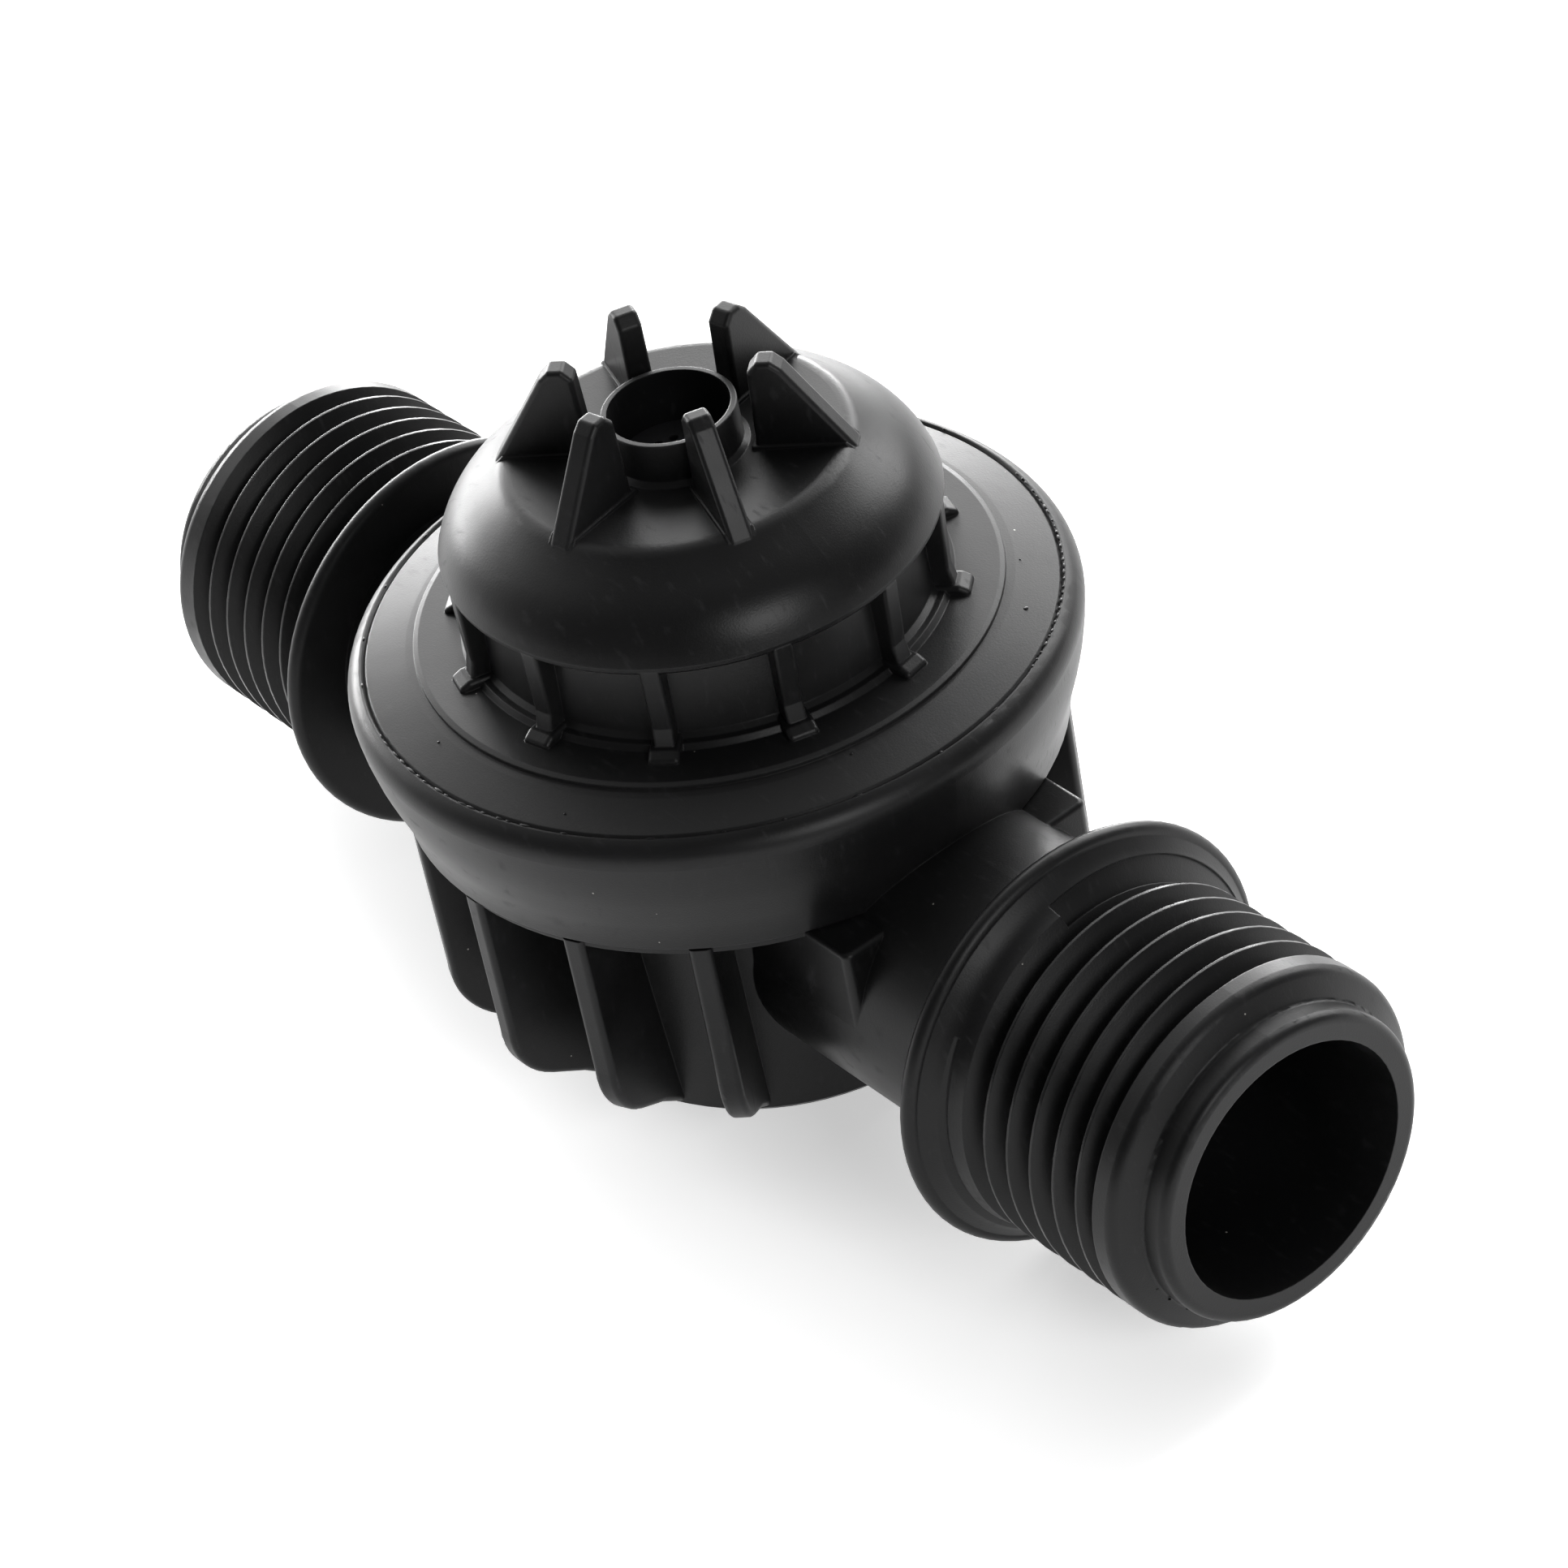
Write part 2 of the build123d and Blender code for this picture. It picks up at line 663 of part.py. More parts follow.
disc_holder.part.label = "disc_holder"
export_step(disc_holder.part, "parts/disc_holder.step")

with BuildPart() as disc_clip:
    with BuildSketch(LEVEL.offset(clip_under)):
        Circle(2.8)
        Circle(CLIP_GROOVE_R, mode=Mode.SUBTRACT)
        with Locations((2, 0)):
            Rectangle(4, 1.7, mode=Mode.SUBTRACT)
        with PolarLocations(2.1, 2, start_angle=115, angular_range=130):
            Circle(0.45, mode=Mode.SUBTRACT)
    extrude(amount=0.5)

disc_clip.part.label = "disc_clip"
export_step(disc_clip.part, "parts/disc_clip.step")

with BuildPart() as seat_ring:
    with BuildSketch(SECTION):
        with BuildLine():
            Polyline(
                (SEAT_ORIFICE_R, SEAT_LIP_Z + 0.3),
                (4.65, SEAT_LIP_Z),
                (4.95, SEAT_LIP_Z),
                (5.2, SEAT_LIP_Z + 0.5),
                (WEB_HOLE_R - 0.05, SEAT_LIP_Z + 0.5),
                (WEB_HOLE_R - 0.05, WEB_TOP_Z - 1.5),
                (ORING_GROOVE_R, WEB_TOP_Z - 1.5),
                (ORING_GROOVE_R, WEB_TOP_Z - 0.4),
                (WEB_HOLE_R - 0.05, WEB_TOP_Z - 0.4),
                (WEB_HOLE_R - 0.05, WEB_TOP_Z),
                (SEAT_FLANGE_R, WEB_TOP_Z),
                (SEAT_FLANGE_R, WEB_TOP_Z + 1.0),
                (SEAT_ORIFICE_R + 0.5, WEB_TOP_Z + 1.0),
                (SEAT_ORIFICE_R, WEB_TOP_Z + 0.5),
                close=True,
            )
        make_face()
    revolve(axis=Axis.Z)

seat_ring.part.label = "seat_ring"
export_step(seat_ring.part, "parts/seat_ring.step")

with BuildPart() as seat_o_ring:
    with BuildSketch(SECTION):
        with Locations(((ORING_GROOVE_R + WEB_HOLE_R) / 2, WEB_TOP_Z - 0.95)):
            Circle((WEB_HOLE_R - ORING_GROOVE_R) / 2)
    revolve(axis=Axis.Z)

seat_o_ring.part.label = "seat_o_ring"
export_step(seat_o_ring.part, "parts/seat_o_ring.step")

guide_under = WEB_TOP_Z + 1.0
with BuildPart() as stem_guide:
    with BuildSketch(LEVEL.offset(guide_under)):
        Circle(SEAT_FLANGE_R)
        Circle(SEAT_FLANGE_R - 1.4, mode=Mode.SUBTRACT)
    extrude(amount=1.2)
    with BuildSketch(LEVEL.offset(guide_under)):
        with PolarLocations(4.6, 3, start_angle=60):
            Rectangle(5.0, 1.4)
    extrude(amount=1.6)
    with BuildSketch(LEVEL.offset(guide_under)):
        Circle(3.0)
    extrude(amount=3.6)
    with BuildSketch(LEVEL.offset(guide_under)):
        Circle(STEM_R + 0.06)
    extrude(amount=3.6, mode=Mode.SUBTRACT)

stem_guide.part.label = "stem_guide"
export_step(stem_guide.part, "parts/stem_guide.step")

# --- Inlet screen, in the -X port -----------------------------------------------------------------
INLET = Plane(origin=(-SCREEN_X, 0, PIPE_Z), x_dir=(0, 1, 0), z_dir=(1, 0, 0))
with BuildPart() as inlet_screen:
    with BuildSketch(INLET):
        Circle(INNER_BORE_R - 0.04)
    extrude(amount=1.0)
    with BuildSketch(INLET.offset(1.0)):
        Circle(SCREEN_R)
    extrude(amount=SCREEN_LENGTH, taper=2.5)
    with BuildSketch(INLET):
        Circle(SCREEN_R - 0.6)
    extrude(amount=SCREEN_LENGTH + 0.4, taper=2.5, mode=Mode.SUBTRACT)
    # Slots along the basket's wall and through its end
    for k in range(SCREEN_ROWS):
        slot_x = -SCREEN_X + SCREEN_FIRST_SLOT + k * SCREEN_SLOT_PITCH
        for half_turn in range(SCREEN_SLOTS // 2):
            angle = half_turn * 360 / SCREEN_SLOTS
            with BuildSketch(Plane(origin=(slot_x, 0, PIPE_Z)).rotated((angle, 0, 0))):
                Rectangle(SCREEN_SLOT_PITCH * 0.8, 0.9)
            extrude(amount=SCREEN_R + 1, both=True, mode=Mode.SUBTRACT)
    with BuildSketch(INLET.offset(SCREEN_LENGTH - 0.5)):
        with PolarLocations(3.0, 8):
            Circle(0.6)
        Circle(1.0)
    extrude(amount=3, mode=Mode.SUBTRACT)

inlet_screen.part.label = "inlet_screen"
export_step(inlet_screen.part, "parts/inlet_screen.step")

with BuildPart() as screen_ring:
    with BuildSketch(INLET.offset(-1.6)):
        Circle(INNER_BORE_R - 0.04)
        Circle(SCREEN_R - 0.3, mode=Mode.SUBTRACT)
        with Locations((0, SCREEN_R)):
            Rectangle(1.6, 3, mode=Mode.SUBTRACT)
    extrude(amount=1.6)

screen_ring.part.label = "screen_ring"
export_step(screen_ring.part, "parts/screen_ring.step")
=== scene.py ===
"""Looks for an inline diaphragm pressure regulator: black moulded shells on a white table.

Everything is in metres, in the part's own frame: +X along the pipe from inlet to outlet, +Z up,
origin on the surface below the middle of the pipe. Sizes are written in millimetres times MM.
"""
import json
import math
import random

import bmesh
import bpy
from mathutils import Matrix, Vector


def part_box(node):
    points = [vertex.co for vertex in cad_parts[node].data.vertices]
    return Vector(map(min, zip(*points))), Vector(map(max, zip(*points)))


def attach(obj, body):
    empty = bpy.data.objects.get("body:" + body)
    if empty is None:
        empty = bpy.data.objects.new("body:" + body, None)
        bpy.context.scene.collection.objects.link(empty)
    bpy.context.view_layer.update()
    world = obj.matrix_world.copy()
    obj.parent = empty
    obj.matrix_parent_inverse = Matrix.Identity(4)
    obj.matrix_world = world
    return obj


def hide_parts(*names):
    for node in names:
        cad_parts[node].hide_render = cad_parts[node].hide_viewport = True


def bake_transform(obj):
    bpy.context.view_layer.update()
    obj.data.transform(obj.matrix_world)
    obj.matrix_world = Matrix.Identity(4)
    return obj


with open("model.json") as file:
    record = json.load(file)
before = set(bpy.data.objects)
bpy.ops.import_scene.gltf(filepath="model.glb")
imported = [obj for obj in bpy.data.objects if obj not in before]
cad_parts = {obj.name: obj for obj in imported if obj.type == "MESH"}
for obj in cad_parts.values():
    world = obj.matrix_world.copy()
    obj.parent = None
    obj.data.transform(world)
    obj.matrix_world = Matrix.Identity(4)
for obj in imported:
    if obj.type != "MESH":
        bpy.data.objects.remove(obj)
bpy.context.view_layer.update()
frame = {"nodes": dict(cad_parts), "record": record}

MM = 0.001
MOUNTS = {m["name"]: m for m in frame["record"]["mounts"]}
PIPE_Z = MOUNTS["outlet_port_bore"]["pos_m"][2]
HOUSING = "housing"

# The seam between body and bonnet, where the weld's flash shows
SEAM_R = 19.52 * MM
SEAM_Z = PIPE_Z + 14.9 * MM
# The step between the outlet's collar and its tip
STEP_X = 42.75 * MM
STEP_R = 9.05 * MM
# The thread's crests fade in over each of these pairs: from the pipe's axis, and along it
CREST_FROM_R, CREST_FULL_R = 10.38 * MM, 10.46 * MM
THREAD_FROM_X, THREAD_FULL_X = 30.6 * MM, 31.0 * MM
COLLAR_FROM_X, COLLAR_FULL_X = 40.6 * MM, 40.9 * MM
# The bonnet's sloping ledge, in millimetres: inner radius, height there, and fall per millimetre
LEDGE_INNER_R = 16.94
LEDGE_INNER_Z = 15.5
LEDGE_FALL = 0.23

# The main spring
SPRING_WIRE_R = 0.7 * MM
SPRING_R = 7.5 * MM
SPRING_TURNS = 5.0
# Closed turns at each end, and how far one rises, counted in wire thicknesses
SPRING_CLOSED_TURNS = 0.8
SPRING_CLOSED_PITCH = 0.55

# Edges sharper than this many degrees stay sharp on the added pieces
SHARP_ANGLE = 40

# Camera: angles in degrees, lengths in metres
CAMERA_AZIMUTH = -32.33
CAMERA_ELEVATION = 37.74
CAMERA_ROLL = -11.45
CAMERA_DISTANCE = 350.85 * MM
CAMERA_TARGET = Vector((3.855 * MM, 0, PIPE_Z + 4.689 * MM))
SENSOR = 36
LENS = 145.35

# Softboxes: azimuth, elevation, distance, width, height, watts
SOFTBOXES = {
    "left_back": (190, 35, 0.9, 0.60, 0.50, 1.2),
    "right_back": (105, 32, 0.9, 0.60, 0.45, 8.0),
    "back": (148, 40, 0.9, 0.40, 0.40, 2.5),
    "low_back": (160, 7, 1.1, 1.40, 0.25, 32.0),
    "outlet_side": (-8, 30, 0.9, 0.35, 0.35, 3.0),
}
WORLD_FRONT = 0.05
WORLD_BACK = 1.0
FLOOR_GLOW = 0.5
FLOOR_SIZE = 4
FLOOR_Z = -0.2 * MM


def toward(azimuth, elevation):
    """Unit vector at this azimuth and elevation, in degrees."""
    a, e = math.radians(azimuth), math.radians(elevation)
    return Vector((math.cos(e) * math.cos(a), math.cos(e) * math.sin(a), math.sin(e)))


# --- Camera ---------------------------------------------------------------------------------------
def add_camera():
    """A long lens, looking down on the outlet side, rolled as a hand-held shot is."""
    roll = math.radians(CAMERA_ROLL)
    away = toward(CAMERA_AZIMUTH, CAMERA_ELEVATION)
    right = (-away).cross(Vector((0, 0, 1))).normalized()
    up = away.cross(right)
    rolled_right = math.cos(roll) * right + math.sin(roll) * up
    rolled_up = math.cos(roll) * up - math.sin(roll) * right
    data = bpy.data.cameras.new("camera")
    data.sensor_width = SENSOR
    data.lens = LENS
    data.clip_start = 0.01
    data.clip_end = 10
    camera = bpy.data.objects.new("camera", data)
    turn = Matrix((rolled_right, rolled_up, away)).transposed().to_4x4()
    camera.matrix_world = Matrix.Translation(CAMERA_TARGET + CAMERA_DISTANCE * away) @ turn
    bpy.context.scene.collection.objects.link(camera)
    bpy.context.scene.camera = camera


# --- Stage ----------------------------------------------------------------------------------------
def add_softbox(name, azimuth, elevation, distance, width, height, watts):
    data = bpy.data.lights.new(name, "AREA")
    data.shape = "RECTANGLE"
    data.size = width
    data.size_y = height
    data.energy = watts
    light = bpy.data.objects.new(name, data)
    light.location = distance * toward(azimuth, elevation)
    light.rotation_euler = (-light.location).to_track_quat("-Z", "Y").to_euler()
    bpy.context.scene.collection.objects.link(light)


def add_floor():
    """A white table that glows a little, so that the part's shadow stays very soft."""
    bpy.ops.mesh.primitive_plane_add(size=FLOOR_SIZE, location=(0, 0, FLOOR_Z))
    floor = bpy.context.object
    floor.name = "floor"
    material = bpy.data.materials.new("floor_white")
    material.use_nodes = True
    shader = material.node_tree.nodes["Principled BSDF"]
    shader.inputs["Base Color"].default_value = (0.93, 0.93, 0.93, 1)
    shader.inputs["Roughness"].default_value = 0.9
    shader.inputs["Emission Color"].default_value = (1, 1, 1, 1)
    shader.inputs["Emission Strength"].default_value = FLOOR_GLOW
    floor.data.materials.append(material)


def add_world():
    """A room that is bright behind the part and dim on the near side."""
    world = bpy.data.worlds.new("studio")
    world.use_nodes = True
    nodes, links = world.node_tree.nodes, world.node_tree.links
    direction = nodes.new("ShaderNodeTexCoord")
    facing = nodes.new("ShaderNodeVectorMath")
    facing.operation = "DOT_PRODUCT"
    facing.inputs[1].default_value = toward(CAMERA_AZIMUTH + 180, 15)
    strength = nodes.new("ShaderNodeMapRange")
    strength.interpolation_type = "SMOOTHSTEP"
    strength.inputs["From Min"].default_value = -0.3
    strength.inputs["From Max"].default_value = 0.8
    strength.inputs["To Min"].default_value = WORLD_FRONT
    strength.inputs["To Max"].default_value = WORLD_BACK
    links.new(direction.outputs["Generated"], facing.inputs[0])
    links.new(facing.outputs["Value"], strength.inputs["Value"])
    links.new(strength.outputs["Result"], nodes["Background"].inputs["Strength"])
    nodes["Background"].inputs["Color"].default_value = (1, 1, 1, 1)
    bpy.context.scene.world = world


add_camera()
add_floor()
add_world()
for box_name, settings in SOFTBOXES.items():
    add_softbox(box_name, *settings)
bpy.context.scene.view_settings.view_transform = "Standard"


# --- Materials ------------------------------------------------------------------------------------
class Surface:
    """A material under construction: its nodes, and short ways to add and join them."""

    def __init__(self, name):
        self.material = bpy.data.materials.new(name)
        self.material.use_nodes = True
        self.nodes = self.material.node_tree.nodes
        self.links = self.material.node_tree.links
        self.shader = self.nodes["Principled BSDF"]
        self.place = self.nodes.new("ShaderNodeTexCoord").outputs["Object"]

    def set(self, **values):
        """Uniform values, on the shader's own sockets."""
        for socket, value in values.items():
            self.shader.inputs[socket.replace("_", " ")].default_value = value

    def noise(self, size, detail=4.0, stretch=(1, 1, 1)):
        """Noise from 0 to 1 whose features are about this many metres across."""
        scaled = self.nodes.new("ShaderNodeMapping")
        scaled.inputs["Scale"].default_value = stretch
        noise = self.nodes.new("ShaderNodeTexNoise")
        noise.inputs["Scale"].default_value = 1 / size
        noise.inputs["Detail"].default_value = detail
        self.links.new(self.place, scaled.inputs["Vector"])
        self.links.new(scaled.outputs["Vector"], noise.inputs["Vector"])
        return noise.outputs["Fac"]

    def specks(self, spacing, radius):
        """1 inside scattered round spots, one for each cell of this spacing in metres, else 0."""
        cells = self.nodes.new("ShaderNodeTexVoronoi")
        cells.inputs["Scale"].default_value = 1 / spacing
        self.links.new(self.place, cells.inputs["Vector"])
        edge, core = radius / spacing, 0.6 * radius / spacing
        return self.spread(cells.outputs["Distance"], edge, core, 0, 1)

    def spread(self, value, low, high, to_low, to_high):
        """The value mapped from low..high to to_low..to_high, and held at the ends."""
        ramp = self.nodes.new("ShaderNodeMapRange")
        ramp.inputs["From Min"].default_value = low
        ramp.inputs["From Max"].default_value = high
        ramp.inputs["To Min"].default_value = to_low
        ramp.inputs["To Max"].default_value = to_high
        self.links.new(value, ramp.inputs["Value"])
        return ramp.outputs["Result"]

    def math(self, operation, a, b):
        node = self.nodes.new("ShaderNodeMath")
        node.operation = operation
        for socket, value in zip(node.inputs, (a, b)):
            if isinstance(value, (int, float)):
                socket.default_value = value
            else:
                self.links.new(value, socket)
        return node.outputs["Value"]

    def mix(self, factor, color_a, color_b):
        node = self.nodes.new("ShaderNodeMix")
        node.data_type = "RGBA"
        self.links.new(factor, node.inputs["Factor"])
        # The node names its number, vector and colour sockets alike, so colours go by index
        for index, color in ((6, color_a), (7, color_b)):
            if isinstance(color, tuple):
                node.inputs[index].default_value = (*color, 1)
            else:
                self.links.new(color, node.inputs[index])
        return node.outputs[2]

    def paint(self, color):
        self.links.new(color, self.shader.inputs["Base Color"])

    def gloss(self, roughness):
        self.links.new(roughness, self.shader.inputs["Roughness"])

    def relief(self, *layers, edge_radius=0.0):
        """Bump layers of (height, depth in metres, strength), over edges rounded by edge_radius."""
        normal = None
        if edge_radius:
            edge = self.nodes.new("ShaderNodeBevel")
            edge.samples = 4
            edge.inputs["Radius"].default_value = edge_radius
            normal = edge.outputs["Normal"]
        for height, depth, strength in layers:
            bump = self.nodes.new("ShaderNodeBump")
            bump.inputs["Distance"].default_value = depth
            bump.inputs["Strength"].default_value = strength
            self.links.new(height, bump.inputs["Height"])
            if normal is not None:
                self.links.new(normal, bump.inputs["Normal"])
            normal = bump.outputs["Normal"]
        self.links.new(normal, self.shader.inputs["Normal"])

    def distance_from_pipe(self):
        """Metres from the pipe's axis, everywhere on the surface."""
        centred = self.nodes.new("ShaderNodeVectorMath")
        centred.operation = "SUBTRACT"
        centred.inputs[1].default_value = (0, 0, PIPE_Z)
        flattened = self.nodes.new("ShaderNodeVectorMath")
        flattened.operation = "MULTIPLY"
        flattened.inputs[1].default_value = (0, 1, 1)
        length = self.nodes.new("ShaderNodeVectorMath")
        length.operation = "LENGTH"
        self.links.new(self.place, centred.inputs[0])
        self.links.new(centred.outputs["Vector"], flattened.inputs[0])
        self.links.new(flattened.outputs["Vector"], length.inputs[0])
        return length.outputs["Value"]

    def along_pipe(self):
        """Metres along the pipe from the middle, the same way on both sides."""
        parts = self.nodes.new("ShaderNodeSeparateXYZ")
        self.links.new(self.place, parts.inputs["Vector"])
        return self.math("ABSOLUTE", parts.outputs["X"], 0)


def moulded_black(name, color, roughness, worn_threads=False):
    """Satin black moulding: fine grain, flow marks, handling scuffs and a few pale dust specks."""
    surface = Surface(name)
    surface.set(Specular_IOR_Level=0.21)
    flow = surface.noise(14 * MM, 3, (1, 1, 1.8))
    scuffs = surface.spread(surface.noise(1.3 * MM, 5, (1, 3.5, 1)), 0.60, 0.72, 0, 1)
    grain = surface.noise(0.11 * MM, 2)
    specks = surface.specks(2.4 * MM, 0.07 * MM)
    kept = surface.math("GREATER_THAN", surface.noise(6 * MM, 2), 0.53)
    dust = surface.math("MULTIPLY", specks, kept)
    shade = tuple(1.9 * c for c in color)
    base = surface.mix(surface.spread(flow, 0.35, 0.65, 0, 1), color, shade)
    scuffed = surface.mix(surface.math("MULTIPLY", scuffs, 0.3), base, (0.022, 0.022, 0.023))
    surface.paint(surface.mix(dust, scuffed, (0.30, 0.29, 0.27)))
    gloss = surface.spread(flow, 0.3, 0.7, roughness - 0.06, roughness + 0.07)
    gloss = surface.math("ADD", gloss, surface.math("MULTIPLY", scuffs, 0.10))
    if worn_threads:
        crest = surface.spread(surface.distance_from_pipe(), CREST_FROM_R, CREST_FULL_R, 0, 1)
        behind_collar = surface.spread(surface.along_pipe(), COLLAR_FULL_X, COLLAR_FROM_X, 0, 1)
        beyond_flange = surface.spread(surface.along_pipe(), THREAD_FROM_X, THREAD_FULL_X, 0, 1)
        on_thread = surface.math("MULTIPLY", behind_collar, beyond_flange)
        rubbed = surface.math("MULTIPLY", crest, on_thread)
        patches = surface.spread(surface.noise(2.2 * MM, 3), 0.42, 0.6, 0, 1)
        rubbed = surface.math("MULTIPLY", rubbed, patches)
        gloss = surface.math("SUBTRACT", gloss, surface.math("MULTIPLY", rubbed, 0.16))
    surface.gloss(gloss)
    waves = surface.noise(3.5 * MM, 2)
    surface.relief(
        (waves, 0.05 * MM, 0.25),
        (grain, 0.012 * MM, 0.5),
        (dust, 0.03 * MM, 0.6),
        edge_radius=0.10 * MM,
    )
    return surface.material


def natural_acetal(name):
    """Waxy off-white acetal with faint flow clouds and fine tool marks."""
    surface = Surface(name)
    surface.set(Specular_IOR_Level=0.45, Subsurface_Weight=0.12, Subsurface_Scale=1.5 * MM)
    clouds = surface.noise(4 * MM, 4)
    yellowed, pale = (0.74, 0.72, 0.65), (0.83, 0.82, 0.77)
    surface.paint(surface.mix(surface.spread(clouds, 0.35, 0.65, 0, 1), yellowed, pale))
    surface.gloss(surface.spread(clouds, 0.3, 0.7, 0.30, 0.44))
    surface.relief((surface.noise(0.25 * MM, 3), 0.01 * MM, 0.4), edge_radius=0.06 * MM)
    return surface.material


def moulded_rubber(name, bloom):
    """Matt black rubber with a greyish bloom and a fine pebbled skin."""
    surface = Surface(name)
    surface.set(Specular_IOR_Level=0.25, Sheen_Weight=0.15, Sheen_Roughness=0.5)
    clouds = surface.noise(5 * MM, 5)
    black, bloomed = (0.012, 0.012, 0.013), (bloom, bloom, bloom)
    surface.paint(surface.mix(surface.spread(clouds, 0.4, 0.7, 0, 1), black, bloomed))
    surface.gloss(surface.spread(clouds, 0.3, 0.7, 0.62, 0.8))
    surface.relief((surface.noise(0.3 * MM, 3), 0.02 * MM, 0.6), edge_radius=0.06 * MM)
    return surface.material


def drawn_steel(name, tint, roughness):
    """Stainless steel with fine circular draw marks and slight staining."""
    surface = Surface(name)
    surface.set(Metallic=1.0)
    marks = surface.noise(0.08 * MM, 3, (0.05, 0.05, 1))
    stains = surface.noise(3 * MM, 5)
    dull = tuple(0.72 * c for c in tint)
    surface.paint(surface.mix(surface.spread(stains, 0.45, 0.75, 0, 1), tint, dull))
    surface.gloss(surface.spread(marks, 0.3, 0.7, roughness - 0.06, roughness + 0.1))
    surface.relief((marks, 0.004 * MM, 0.4), edge_radius=0.05 * MM)
    return surface.material


MATERIALS = {
    "body_plastic": moulded_black(
        "body_plastic", (0.0040, 0.0040, 0.0042), 0.39, worn_threads=True
    ),
    "bonnet_plastic": moulded_black("bonnet_plastic", (0.0045, 0.0045, 0.0047), 0.37),
    "screen_plastic": moulded_black("screen_plastic", (0.012, 0.012, 0.013), 0.46),
    "inner_plastic": natural_acetal("inner_plastic"),
    "diaphragm_rubber": moulded_rubber("diaphragm_rubber", 0.045),
    "seal_rubber": moulded_rubber("seal_rubber", 0.03),
    "spring_steel": drawn_steel("spring_steel", (0.56, 0.56, 0.57), 0.26),
    "stem_steel": drawn_steel("stem_steel", (0.62, 0.62, 0.63), 0.2),
}
for part in frame["record"]["subparts"]:
    mesh = frame["nodes"][part["node"]].data
    mesh.materials.clear()
    mesh.materials.append(MATERIALS[part["material_slot"]])


# --- Pieces added to the CAD ----------------------------------------------------------------------
def new_piece(name, bm, slot, body):
    """A finished mesh as a smooth-shaded piece with the slot's material, riding on a body."""
    bmesh.ops.recalc_face_normals(bm, faces=bm.faces)
    mesh = bpy.data.meshes.new(name)
    bm.to_mesh(mesh)
    bm.free()
    mesh.shade_smooth()
    mesh.set_sharp_from_angle(angle=math.radians(SHARP_ANGLE))
    mesh.materials.append(MATERIALS[slot])
    piece = bpy.data.objects.new(name, mesh)
    bpy.context.scene.collection.objects.link(piece)
    if body:
        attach(piece, body)
    return piece


def add_tube(bm, centres, frames, sizes, sides):
    """Closed tube through the centres.

    Each centre has its (across, up) pair in frames and its (half width, half height) in sizes.
    """
    rings = []
    for centre, (across, up), (half_width, half_height) in zip(centres, frames, sizes):
        ring = []
        for k in range(sides):
            angle = 2 * math.pi * k / sides
            offset = half_width * math.cos(angle) * across + half_height * math.sin(angle) * up
            ring.append(bm.verts.new(centre + offset))
        rings.append(ring)
    for low, high in zip(rings, rings[1:]):
        for k in range(sides):
            bm.faces.new((low[k], low[(k + 1) % sides], high[(k + 1) % sides], high[k]))
    bm.faces.new(reversed(rings[0]))
    bm.faces.new(rings[-1])


def add_weld_bead(bm, radius, height, start, sweep, half_width, half_height):
    """One short bead of squeezed-out plastic along the seam, tapered at both ends."""
    steps = 7
    centres, frames, sizes = [], [], []
    for i in range(steps):
        t = i / (steps - 1)
        angle = math.radians(start + sweep * t)
        outward = Vector((math.cos(angle), math.sin(angle), 0))
        swell = 0.25 + 0.75 * math.sin(math.pi * (0.06 + 0.88 * t))
        centres.append(radius * outward + Vector((0, 0, height)))
        frames.append((outward, Vector((0, 0, 1))))
        sizes.append((half_width * swell, half_height * swell))
    add_tube(bm, centres, frames, sizes, 8)


def add_weld_flash():
    """The spin weld's flash: short broken beads in two stretches of the seam, and a few strays."""
    rng = random.Random(7)
    # First azimuth, last azimuth, number of beads, largest bead's length in degrees
    stretches = ((24, 80, 30, 1.5), (252, 292, 15, 2.2), (95, 250, 11, 1.4), (295, 380, 7, 1.6))
    bm = bmesh.new()
    for first, last, count, longest in stretches:
        spacing = (last - first) / count
        for k in range(count):
            start = first + spacing * (k + 0.35 * rng.random())
            sweep = longest * (0.35 + 0.65 * rng.random())
            half_width = (0.05 + 0.05 * rng.random()) * MM
            half_height = (0.04 + 0.05 * rng.random()) * MM
            radius = SEAM_R + 0.05 * MM * (rng.random() - 0.5)
            add_weld_bead(bm, radius, SEAM_Z, start, sweep, half_width, half_height)
    new_piece("weld_flash", bm, "body_plastic", HOUSING)


def add_blob(bm, centre, size, rng):
    """A small lump with an uneven outline."""
    made = bmesh.ops.create_icosphere(bm, subdivisions=2, radius=size)
    squash = Matrix.Diagonal((0.8 + 0.5 * rng.random(), 0.8 + 0.5 * rng.random(), 0.45))
    for vert in made["verts"]:
        uneven = 1 + 0.16 * (rng.random() - 0.5)
        vert.co = centre + uneven * (squash @ vert.co)


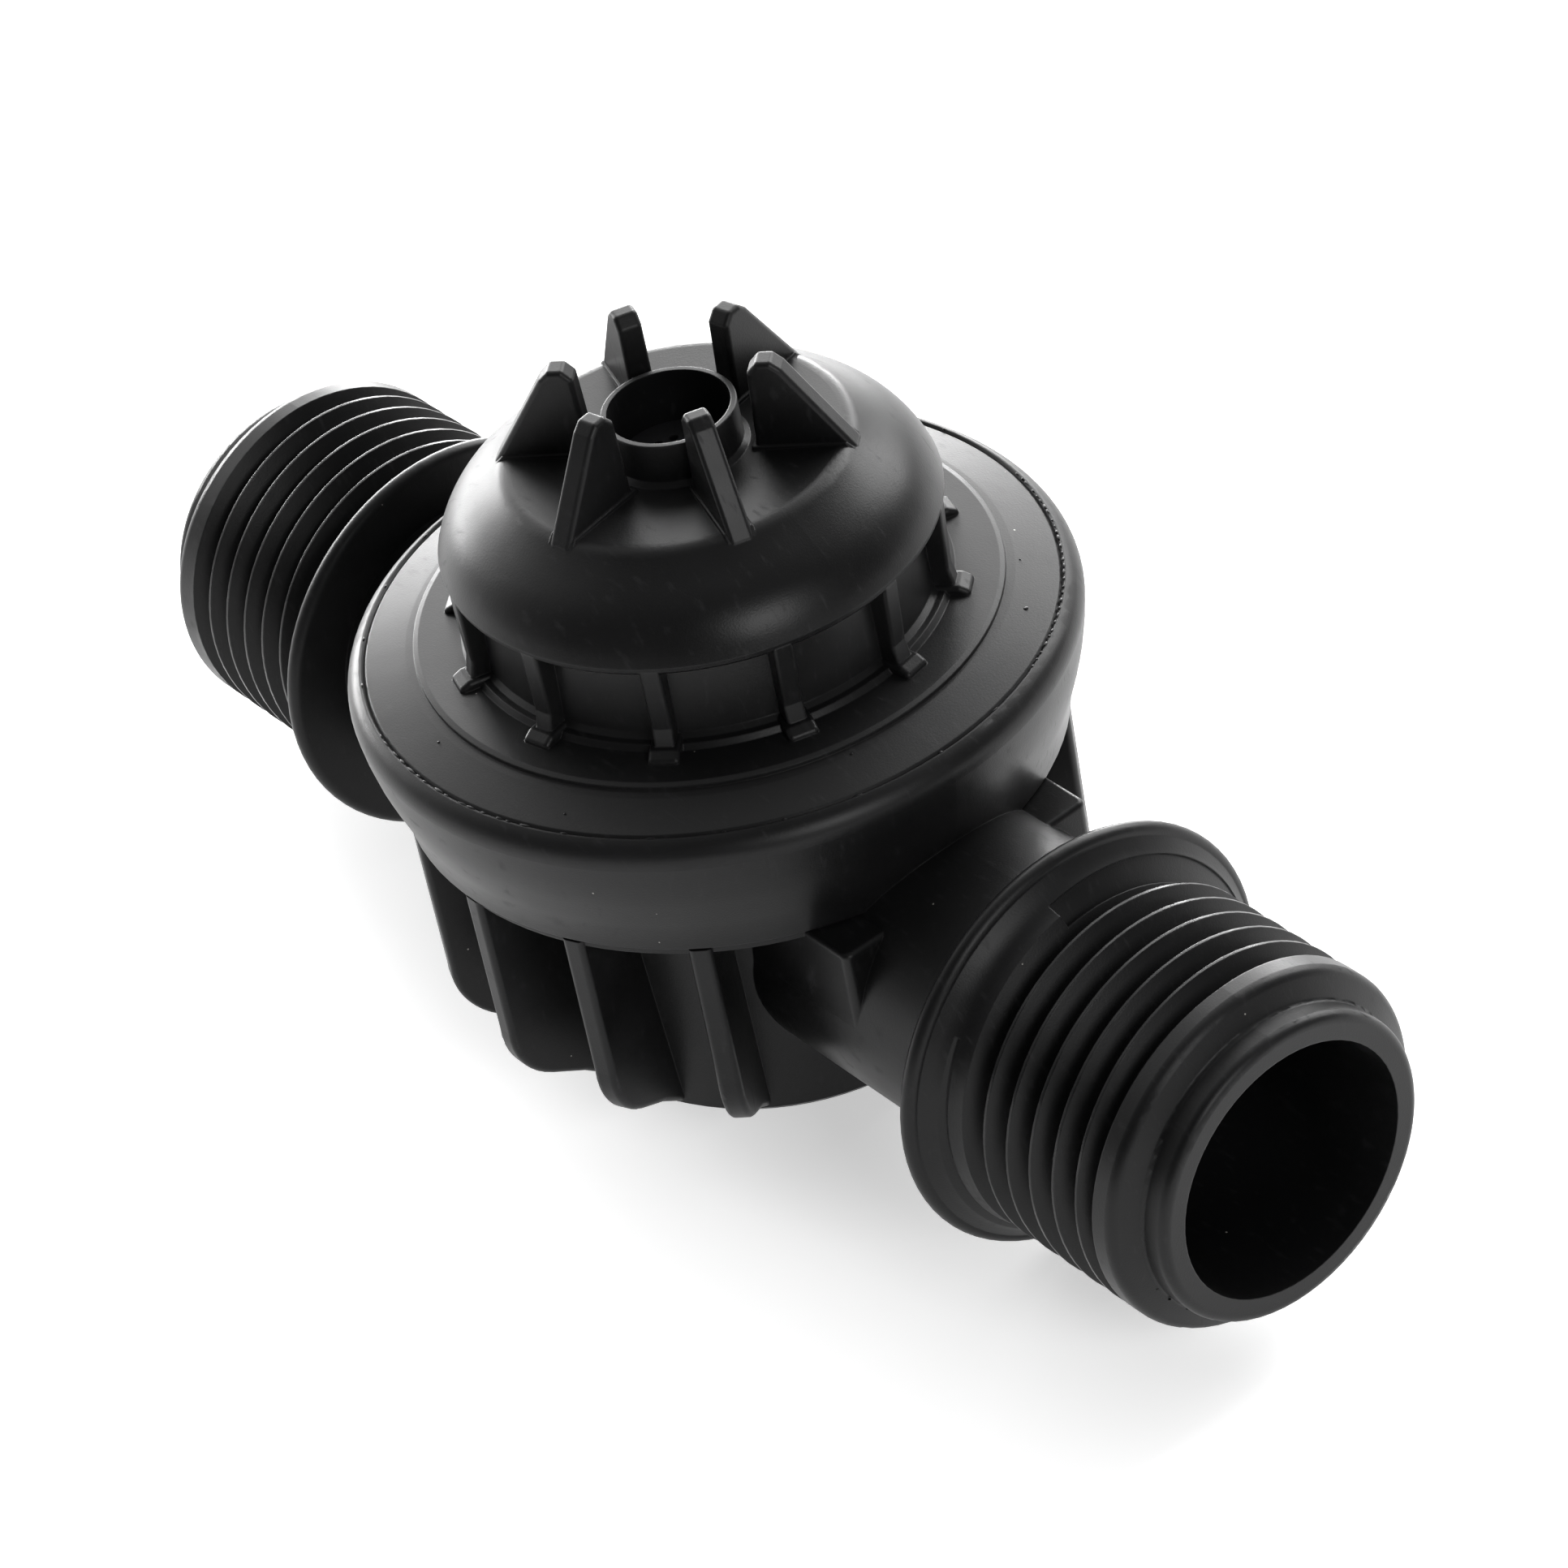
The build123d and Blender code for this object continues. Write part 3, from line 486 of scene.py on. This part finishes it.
def add_trim_marks():
    """Burrs left by trimming: a few at the outlet's tip, and sprue crumbs on the bonnet's ledge."""
    rng = random.Random(19)
    bm = bmesh.new()
    # Angle round the pipe, millimetres along it, and radius in millimetres
    burrs = ((-158, 0.0, 0.13), (-151, 0.25, 0.09), (-147, -0.1, 0.11), (-139, 0.1, 0.07))
    for angle, along, size in burrs:
        a = math.radians(angle)
        outward = Vector((0, math.cos(a), math.sin(a)))
        centre = Vector((STEP_X + along * MM, 0, PIPE_Z)) + (STEP_R + 0.02 * MM) * outward
        add_blob(bm, centre, size * MM, rng)
    # Azimuth, distance from the middle and radius, in millimetres
    crumbs = (
        (-12, 16.9, 0.1),
        (38, 17.8, 0.12),
        (52, 17.2, 0.08),
        (-64, 18.3, 0.08),
        (-97, 17.4, 0.1),
    )
    for azimuth, radius, size in crumbs:
        a = math.radians(azimuth)
        ledge_z = LEDGE_INNER_Z - LEDGE_FALL * (radius - LEDGE_INNER_R)
        x, y = radius * MM * math.cos(a), radius * MM * math.sin(a)
        add_blob(bm, Vector((x, y, PIPE_Z + ledge_z * MM)), size * MM, rng)
    new_piece("trim_marks", bm, "bonnet_plastic", HOUSING)


def add_spring():
    """The main spring with closed ends, built in the CAD spring's place."""
    low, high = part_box("main_spring")
    wire, turns, closed = SPRING_WIRE_R, SPRING_TURNS, SPRING_CLOSED_TURNS
    steps = 40
    bottom, top = low[2] + wire, high[2] - wire
    closed_rise = 2 * wire * closed * SPRING_CLOSED_PITCH
    open_pitch = (top - bottom - 2 * closed_rise) / (turns - 2 * closed)
    centres, frames, sizes = [], [], []
    for i in range(int(turns * steps) + 1):
        turn = i / steps
        if turn < closed:
            z = bottom + closed_rise * turn / closed
        elif turn > turns - closed:
            z = top - closed_rise * (turns - turn) / closed
        else:
            z = bottom + closed_rise + open_pitch * (turn - closed)
        angle = 2 * math.pi * turn
        outward = Vector((math.cos(angle), math.sin(angle), 0))
        centres.append(SPRING_R * outward + Vector((0, 0, z)))
        frames.append((outward, Vector((0, 0, 1))))
        sizes.append((wire, wire))
    bm = bmesh.new()
    add_tube(bm, centres, frames, sizes, 12)
    spring = new_piece("compression_spring", bm, "spring_steel", None)
    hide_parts("main_spring")
    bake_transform(spring)


def diaphragm_outline():
    """Closed (radius, height) outline: clamped web, rolling convolution, and bead at the rim."""
    middle_r, roll_r, roll_z = 12.55, 2.35, 10.9
    half = 0.4
    inner, outer = roll_r - half, roll_r + half
    outline = [(1.52, 9.62), (9.7, 9.62), (10.1, 9.75), (10.45, 10.1)]
    for k in range(13):
        a = math.pi * (1 - k / 12)
        outline.append((middle_r + inner * math.cos(a), roll_z + inner * math.sin(a)))
    outline += [(14.5, 10.6), (18.0, 10.6), (18.2, 10.8), (18.2, 11.9)]
    outline += [(18.0, 12.1), (15.7, 12.1), (15.5, 11.9)]
    for k in range(13):
        a = math.pi * k / 12
        outline.append((middle_r + outer * math.cos(a), roll_z + outer * math.sin(a)))
    outline += [(9.75, 10.55), (9.5, 10.38), (1.52, 10.38)]
    return [(r * MM, PIPE_Z + z * MM) for r, z in outline]


def add_diaphragm():
    """The diaphragm in equal closed sectors, each its outline from stem to rim turned through a
    share of the circle.
    """
    sectors, steps = 12, 6
    outline = diaphragm_outline()
    for sector in range(sectors):
        bm = bmesh.new()
        rings = []
        for i in range(steps + 1):
            a = 2 * math.pi * (sector + i / steps) / sectors
            rings.append([bm.verts.new((r * math.cos(a), r * math.sin(a), z)) for r, z in outline])
        count = len(outline)
        for low, high in zip(rings, rings[1:]):
            for k in range(count):
                bm.faces.new((low[k], low[(k + 1) % count], high[(k + 1) % count], high[k]))
        bm.faces.new(reversed(rings[0]))
        bm.faces.new(rings[-1])
        piece = new_piece(f"diaphragm_sector_{sector + 1:02d}", bm, "diaphragm_rubber", None)
        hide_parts("diaphragm")
        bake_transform(piece)


add_weld_flash()
add_trim_marks()
add_spring()
add_diaphragm()
